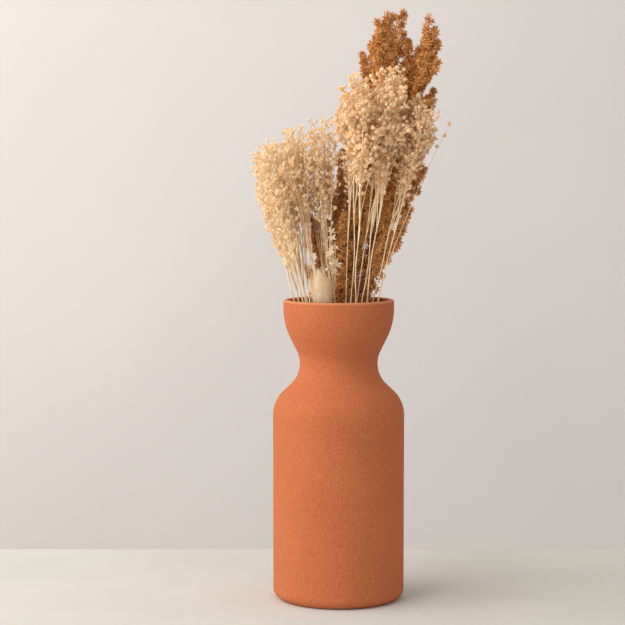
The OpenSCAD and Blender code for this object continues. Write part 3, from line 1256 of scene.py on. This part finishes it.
@dataclass
class Vase:
    """The terracotta vase, turned from its wall's profile.

    Attributes:
        height: height of the rim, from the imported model.
        body_r: radius of the straight body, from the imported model.
        body_h: height of the body wall.
        neck_z: height of the narrowest part of the neck.
        bowl_z: height of the mouth's widest part.
        neck_r: radius of the neck.
        mouth_r: radius of the mouth.
        wall: thickness of the wall.
        floor_t: height of the inside floor.
        shoulder_round: radius of the shoulder's swelling.
        neck_round: radius of the neck's hollow.
        bowl_round: radius of the mouth's swelling.
        base_round: radius of the outer edge of the foot.
        floor_round: radius of the inner edge of the floor.
        lip_round: radius of the rim's edges.
        foot_ring_w: width of the ring that the vase stands on.
        foot_recess: depth of the hollow inside that ring.
        sides: points round the vase.
        arc_step: degrees between the points of a round stretch.
        straight_step: greatest distance between the points of a straight stretch.
    """

    height: float
    body_r: float
    body_h: float = 166.0 * MM
    neck_z: float = 212.5 * MM
    bowl_z: float = 262.5 * MM
    neck_r: float = 35.0 * MM
    mouth_r: float = 49.7 * MM
    wall: float = 5.0 * MM
    floor_t: float = 7.0 * MM
    shoulder_round: float = 29.5 * MM
    neck_round: float = 26.0 * MM
    bowl_round: float = 61.0 * MM
    base_round: float = 9.0 * MM
    floor_round: float = 6.0 * MM
    lip_round: float = 2.2 * MM
    foot_ring_w: float = 12.0 * MM
    foot_recess: float = 2.0 * MM
    sides: int = 160
    arc_step: float = 3.0
    straight_step: float = 12 * MM

    def arc(
        self, centre: tuple[float, float], radius: float, start: float, end: float
    ) -> list[tuple[float, float]]:
        """Points of a round stretch, from one angle to another in degrees."""
        steps = max(2, math.ceil(abs(end - start) / self.arc_step))
        angles = [math.radians(start + (end - start) * k / steps) for k in range(steps + 1)]
        return [(centre[0] + radius * math.cos(a), centre[1] + radius * math.sin(a)) for a in angles]

    def leaving_angle(self, centre: tuple[float, float], radius: float, side: int) -> float:
        """Angle at which the wall leaves a swelling arc for the neck's hollow arc."""
        way = (self.neck_r + self.neck_round - centre[0], self.neck_z - centre[1])
        apart = math.hypot(*way)
        return math.degrees(math.atan2(way[1], way[0]) + side * math.acos((radius + self.neck_round) / apart))

    def wall_curve(self, depth: float) -> list[tuple[float, float]]:
        """The wall from the body up to the mouth, set in from the outside by a depth."""
        shoulder = (self.body_r - self.shoulder_round, self.body_h)
        neck = (self.neck_r + self.neck_round, self.neck_z)
        bowl = (self.mouth_r - self.bowl_round, self.bowl_z)
        low = self.leaving_angle(shoulder, self.shoulder_round, -1)
        high = self.leaving_angle(bowl, self.bowl_round, 1)
        return (
            self.arc(shoulder, self.shoulder_round - depth, 0, low)
            + self.arc(neck, self.neck_round + depth, 180 + low, 180 + high)
            + self.arc(bowl, self.bowl_round - depth, high, 0)
        )

    def profile(self) -> list[tuple[float, float]]:
        """The whole section, from under the foot, up the outside, over the rim and down inside.

        Returns:
            Radius and height of each point.
        """
        ring_r = self.body_r - self.base_round - self.foot_ring_w
        lip = self.height - self.lip_round
        inner_base = (self.body_r - self.wall - self.floor_round, self.floor_t + self.floor_round)
        return (
            [(0.0, self.foot_recess), (ring_r - self.foot_recess, self.foot_recess), (ring_r, 0.0)]
            + self.arc((self.body_r - self.base_round, self.base_round), self.base_round, -90, 0)
            + self.wall_curve(0.0)
            + self.arc((self.mouth_r - self.lip_round, lip), self.lip_round, 0, 90)
            + self.arc((self.mouth_r - self.wall + self.lip_round, lip), self.lip_round, 90, 180)
            + list(reversed(self.wall_curve(self.wall)))
            + self.arc(inner_base, self.floor_round, 0, -90)
            + [(0.0, self.floor_t)]
        )

    def tree(self) -> bpy.types.NodeTree:
        """Build the geometry tree that turns a profile's points round the Z axis.

        Returns:
            A tree with inputs Sides, Points and Finish.
        """
        tree, given = geometry_tree("turned-vase", {"Sides": "Int", "Points": "Int", "Finish": "Material"})
        columns = add(tree, "ShaderNodeMath", {"operation": "ADD"}, Value=given["Sides"], Value_001=1.0)
        grid = add(
            tree, "GeometryNodeMeshGrid",
            Size_X=1.0, Size_Y=1.0, Vertices_X=columns.outputs[0], Vertices_Y=given["Points"],
        )
        index = add(tree, "GeometryNodeInputIndex").outputs[0]
        column = add(tree, "ShaderNodeMath", {"operation": "DIVIDE"}, Value=index, Value_001=given["Points"])
        whole = add(tree, "ShaderNodeMath", {"operation": "FLOOR"}, Value=column.outputs[0])
        row = add(tree, "ShaderNodeMath", {"operation": "MODULO"}, Value=index, Value_001=given["Points"])
        share = add(
            tree, "ShaderNodeMath", {"operation": "DIVIDE"}, Value=whole.outputs[0], Value_001=given["Sides"]
        )
        angle = add(
            tree, "ShaderNodeMath", {"operation": "MULTIPLY"}, Value=share.outputs[0], Value_001=2 * math.pi
        )
        position = add(tree, "GeometryNodeInputPosition").outputs[0]
        spot = add(
            tree, "GeometryNodeSampleIndex", {"data_type": "FLOAT_VECTOR", "domain": "POINT"},
            Geometry=given["Geometry"], Value=position, Index=row.outputs[0],
        )
        turned_to = add(
            tree, "ShaderNodeVectorRotate", {"rotation_type": "Z_AXIS"},
            Vector=spot.outputs[0], Angle=angle.outputs[0],
        )
        placed = add(
            tree, "GeometryNodeSetPosition", Geometry=grid.outputs["Mesh"], Position=turned_to.outputs[0]
        )
        # The first and last columns meet, and the points on the axis fall together.
        merged = add(tree, "GeometryNodeMergeByDistance", Geometry=placed.outputs[0], Distance=0.005 * MM)
        solid = add(tree, "GeometryNodeRealizeInstances", Geometry=merged.outputs[0])
        finished = add(tree, "GeometryNodeSetMaterial", Geometry=solid.outputs[0], Material=given["Finish"])
        end_tree(tree, finished.outputs[0])
        return tree

    def build(self, finish: bpy.types.Material) -> None:
        """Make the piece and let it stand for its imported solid.

        Args:
            finish: the clay's material.
        """
        points, corners = [], self.profile()
        for (low_r, low_z), (high_r, high_z) in zip(corners, corners[1:]):
            steps = max(1, round(math.dist((low_r, low_z), (high_r, high_z)) / self.straight_step))
            points += [
                (low_r + (high_r - low_r) * k / steps, 0.0, low_z + (high_z - low_z) * k / steps)
                for k in range(steps)
            ]
        points.append((0.0, 0.0, self.floor_t))
        mesh = bpy.data.meshes.new("vase-profile")
        mesh.from_pydata(points, [(k, k + 1) for k in range(len(points) - 1)], [])
        piece = grown(
            "vase-terracotta", mesh, self.tree(),
            {"Sides": self.sides, "Points": len(points), "Finish": finish},
        )
        bm = bmesh.new()
        bm.from_mesh(piece.data)
        bmesh.ops.recalc_face_normals(bm, faces=bm.faces)
        bm.to_mesh(piece.data)
        bm.free()
        for face in piece.data.polygons:
            face.use_smooth = True
        stand_in(piece, "vase_body", "vase")


# ---------------------------------------------------------------- the bunch


# Longer branches of the spikes by the spike's number: tip sideways and up from the spike's tip, in mm.
SPIKE_FINGERS: dict[int, tuple[tuple[float, float], ...]] = {
    3: ((18.0, -8.0), (12.0, -50.0), (24.0, -70.0)),
    4: ((-13.0, -8.0), (10.0, 0.0), (-5.0, -1.0), (2.0, -26.0), (-6.0, -120.0), (8.0, -160.0)),
    5: ((-5.0, 8.0), (3.0, -14.0), (-7.0, -127.0), (-20.0, -162.0), (-30.0, -188.0), (0.0, -66.0),
        (-2.0, -100.0), (-14.0, -145.0), (-26.0, -176.0)),
    7: ((-10.0, -14.0), (15.0, -10.0), (10.0, -26.0), (20.0, -34.0), (24.0, -52.0), (17.0, -22.0)),
    8: ((-17.0, -2.0), (-10.0, -20.0), (8.0, -10.0), (-14.0, -34.0), (-20.0, -24.0), (-22.0, -44.0)),
    9: ((-13.0, 8.0), (-5.0, 18.0), (12.0, 4.0)),
    10: ((13.0, -4.0), (14.0, -40.0), (-6.0, -8.0), (-12.0, -22.0), (10.0, -80.0), (4.0, -110.0)),
}


# The tip of the one long twig that strays out to the right.
STRAY_TIP = Vector((0.095, -0.045, 0.424))


@dataclass
class Bunch:
    """The whole dried bunch, stem by stem.

    Attributes:
        rim_z: height of the vase's rim.
        nursery: what its stems are grown with.
    """

    rim_z: float
    nursery: Nursery

    def finish(self, stem: Stem, stalk: tuple[DryPlant, str], head: tuple[DryPlant, str]) -> None:
        """Grow one stem and make its two pieces.

        Args:
            stem: the stem.
            stalk: finish and record slot of its stalk and twigs.
            head: finish and record slot of its florets.
        """
        stem.build()
        self.nursery.grow(stem.stem, "stalk", stem.stalk, stalk[0], stalk[0], stalk[1])
        self.nursery.grow(stem.stem, "head", stem.head, stalk[0], head[0], head[1])

    def build(self) -> None:
        """Grow every stem."""
        straw, brown = (STALK, "straw_stalk"), (RUST_STALK, "brown_stalk")
        for k in range(1, 11):
            # The outer sprays, at the left, bear florets almost from the mouth up.
            outer = k in (1, 3, 5, 7)
            spray = Spray(
                f"left_spray_{k}", seed=100 + k, rim_z=self.rim_z, first=0.12 if outer else 0.38,
                heads=((Floret.CUP, 0.75), (Floret.BUD, 0.25)), twigs=9, sprigs=17, width=4.6 * MM,
            )
            self.finish(spray, straw, (CUP_PAPER, "pale_left"))
        for k in range(1, 9):
            spray = Spray(
                f"right_spray_{k}", seed=200 + k, rim_z=self.rim_z, forks=(50 * MM, 140 * MM), first=0.24,
                heads=((Floret.BOLL, 0.62), (Floret.CUP, 0.3), (Floret.RUFFLE, 0.08)),
                twigs=11, sprigs=23, width=3.7 * MM, stalk_r=0.65 * MM,
                spread=2.7 if k == 1 else 2.2, stray=STRAY_TIP if k == 8 else None,
            )
            self.finish(spray, straw, (BOLL_PAPER, "pale_right"))
        for k in range(1, 11):
            fingers = tuple((across * MM, up * MM) for across, up in SPIKE_FINGERS.get(k, ()))
            spike = SeedSpike(f"seed_spike_{k}", seed=300 + k, rim_z=self.rim_z, fingers=fingers)
            self.finish(spike, brown, (RUST_HUSK, "rust_seed"))
        sprig = StarSprig("star_sprig", seed=400, rim_z=self.rim_z)
        self.finish(sprig, straw, (STAR_PETAL, "star_flower"))
        BunnyTail("bunny_tail").build(self.nursery.finishes[TAIL_DOWN])


# ---------------------------------------------------------------- the set


@dataclass(frozen=True)
class Lamp:
    """A square soft lamp that looks at the bunch.

    Attributes:
        name: the lamp's name.
        at: where it hangs.
        size: length of its side.
        watts: its power.
        colour: sRGB colour of its light.
        aim: what it looks at.
    """

    name: str
    at: tuple[float, float, float]
    size: float
    watts: float
    colour: str
    aim: tuple[float, float, float] = (0.0, 0.0, 0.25)

    def hang(self) -> None:
        """Put the lamp in the scene."""
        light = bpy.data.lights.new(self.name, "AREA")
        light.size = self.size
        light.energy = self.watts
        light.color = linear(self.colour)[:3]
        lamp = bpy.data.objects.new(self.name, light)
        lamp.location = self.at
        way = Vector(self.aim) - Vector(self.at)
        lamp.rotation_euler = way.to_track_quat("-Z", "Y").to_euler()
        bpy.context.scene.collection.objects.link(lamp)


@dataclass(frozen=True)
class Set:
    """The plain table, wall, soft light and camera.

    Attributes:
        table_back: how far behind the vase the table ends.
        table_side: how far the table reaches to each side and to the front.
        floor_z: height of the room's floor, where the wall and the table's edge end.
        wall_y: how far behind the vase the wall stands.
        wall_side: how far the wall reaches to each side.
        wall_top: height of the wall.
        cloth: sRGB colour of the table.
        plaster: sRGB colour of the wall.
        camera_at: where the camera stands.
        camera_down: angle by which it looks down.
        lens: its lens in millimetres.
        sensor: width of its sensor in millimetres.
        lamps: a big soft lamp at the left, a faint one at the right and one for the wall.
        sky: sRGB colour of the light from all round.
        sky_strength: its strength.
    """

    table_back: float = 0.216
    table_side: float = 3.0
    floor_z: float = -0.9
    wall_y: float = 0.9
    wall_side: float = 4.0
    wall_top: float = 3.0
    cloth: str = "#D3D0C7"
    plaster: str = "#DFDAD6"
    camera_at: tuple[float, float, float] = (-0.0235, -1.719, 0.3886)
    camera_down: float = 0.0757
    lens: float = 110.7
    sensor: float = 36.0
    lamps: tuple[Lamp, ...] = (
        Lamp("key", (-1.6, -1.2, 1.3), 2.0, 37.0, "#FFFDFB"),
        Lamp("fill", (1.7, -1.8, 0.9), 2.0, 2.0, "#F8F7FF"),
        Lamp("wall-wash", (-1.4, 0.1, 0.9), 1.0, 9.0, "#FFFEFC"),
    )
    sky: str = "#F4F3F3"
    sky_strength: float = 0.70

    def plain(self, name: str, colour: str, patch: float, weave: float) -> bpy.types.Material:
        """A matt stage finish with a faint pattern. A finish with no weave is clear from behind.

        Args:
            name: the material's name.
            colour: its sRGB colour.
            patch: size of its faint clouds.
            weave: pitch of its weave, or 0 for none.

        Returns:
            The material.
        """
        material, tree, place = bare_material(name)
        cloud = add(tree, "ShaderNodeTexNoise", Vector=place, Scale=1 / patch, Detail=3.0)
        darker, lighter = ([min(c * share, 1) for c in linear(colour)[:3]] + [1.0] for share in (0.93, 1.05))
        tint = add(
            tree, "ShaderNodeMix", {"data_type": "RGBA"},
            Factor_Float=cloud.outputs["Fac"], A_Color=darker, B_Color=lighter,
        )
        surface = add(
            tree, "ShaderNodeBsdfPrincipled",
            Base_Color=tint.outputs[2], Roughness=0.95, Specular_IOR_Level=0.1,
        )
        seen = surface.outputs[0]
        if weave:
            grain = add(tree, "ShaderNodeTexNoise", Vector=place, Scale=1 / weave, Detail=2.0)
            bump = add(
                tree, "ShaderNodeBump", Height=grain.outputs["Fac"], Strength=0.5, Distance=0.4 * MM
            )
            tree.links.new(bump.outputs["Normal"], surface.inputs["Normal"])
        else:
            behind = add(tree, "ShaderNodeNewGeometry").outputs["Backfacing"]
            clear = add(tree, "ShaderNodeBsdfTransparent").outputs[0]
            seen = add(
                tree, "ShaderNodeMixShader", Fac=behind, Shader=surface.outputs[0], Shader_001=clear
            ).outputs[0]
        add(tree, "ShaderNodeOutputMaterial", Surface=seen)
        return material

    def sheet(
        self, name: str, corners: list[tuple[float, float, float]], finish: bpy.types.Material
    ) -> None:
        """Add one flat stage sheet."""
        mesh = bpy.data.meshes.new(name)
        mesh.from_pydata(corners, [], [tuple(range(len(corners)))])
        mesh.materials.append(finish)
        flat_object(name, mesh)

    def build(self) -> None:
        """Lay the table, raise the wall, and place the lamps, the room's light and the camera."""
        cloth = self.plain("stage-cloth", self.cloth, patch=0.12, weave=1.6 * MM)
        plaster = self.plain("stage-wall", self.plaster, patch=0.35, weave=0.0)
        back, side, drop = self.table_back, self.table_side, self.floor_z
        top = [(-side, -side, 0), (side, -side, 0), (side, back, 0), (-side, back, 0)]
        edge = [(-side, back, 0), (side, back, 0), (side, back, drop), (-side, back, drop)]
        y, wide, high = self.wall_y, self.wall_side, self.wall_top
        wall = [(-wide, y, drop), (wide, y, drop), (wide, y, high), (-wide, y, high)]
        self.sheet("table-top", top, cloth)
        self.sheet("table-edge", edge, cloth)
        self.sheet("wall", wall, plaster)
        for lamp in self.lamps:
            lamp.hang()
        world = bpy.data.worlds.new("soft-room")
        world.use_nodes = True
        sky = world.node_tree.nodes["Background"]
        sky.inputs["Color"].default_value = linear(self.sky)
        sky.inputs["Strength"].default_value = self.sky_strength
        bpy.context.scene.world = world
        bpy.context.scene.view_settings.view_transform = "Standard"
        self.place_camera()

    def place_camera(self) -> None:
        """Place the camera and make it the scene's own."""
        view = bpy.data.cameras.new("camera")
        view.lens = self.lens
        view.sensor_width = self.sensor
        camera = bpy.data.objects.new("camera", view)
        camera.location = self.camera_at
        camera.rotation_euler = (math.pi / 2 - self.camera_down, 0.0, 0.0)
        bpy.context.scene.collection.objects.link(camera)
        bpy.context.scene.camera = camera


# ---------------------------------------------------------------- the making


def main() -> None:
    """Build the set, the vase and the bunch."""
    logging.basicConfig(level=logging.INFO, format="%(message)s")
    Set().build()
    low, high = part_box("vase")
    Vase(height=high.z, body_r=-low.x).build(Terracotta(rim_z=high.z).material())
    plants = (CUP_PAPER, BOLL_PAPER, STALK, RUST_HUSK, RUST_STALK, TAIL_DOWN, STAR_PETAL)
    nursery = Nursery(growth_tree(), floret_shapes(), {plant: plant.material() for plant in plants})
    Bunch(rim_z=high.z, nursery=nursery).build()
    for shape in list(nursery.florets.objects):
        bpy.data.objects.remove(shape)


if __name__ == "__main__":
    main()
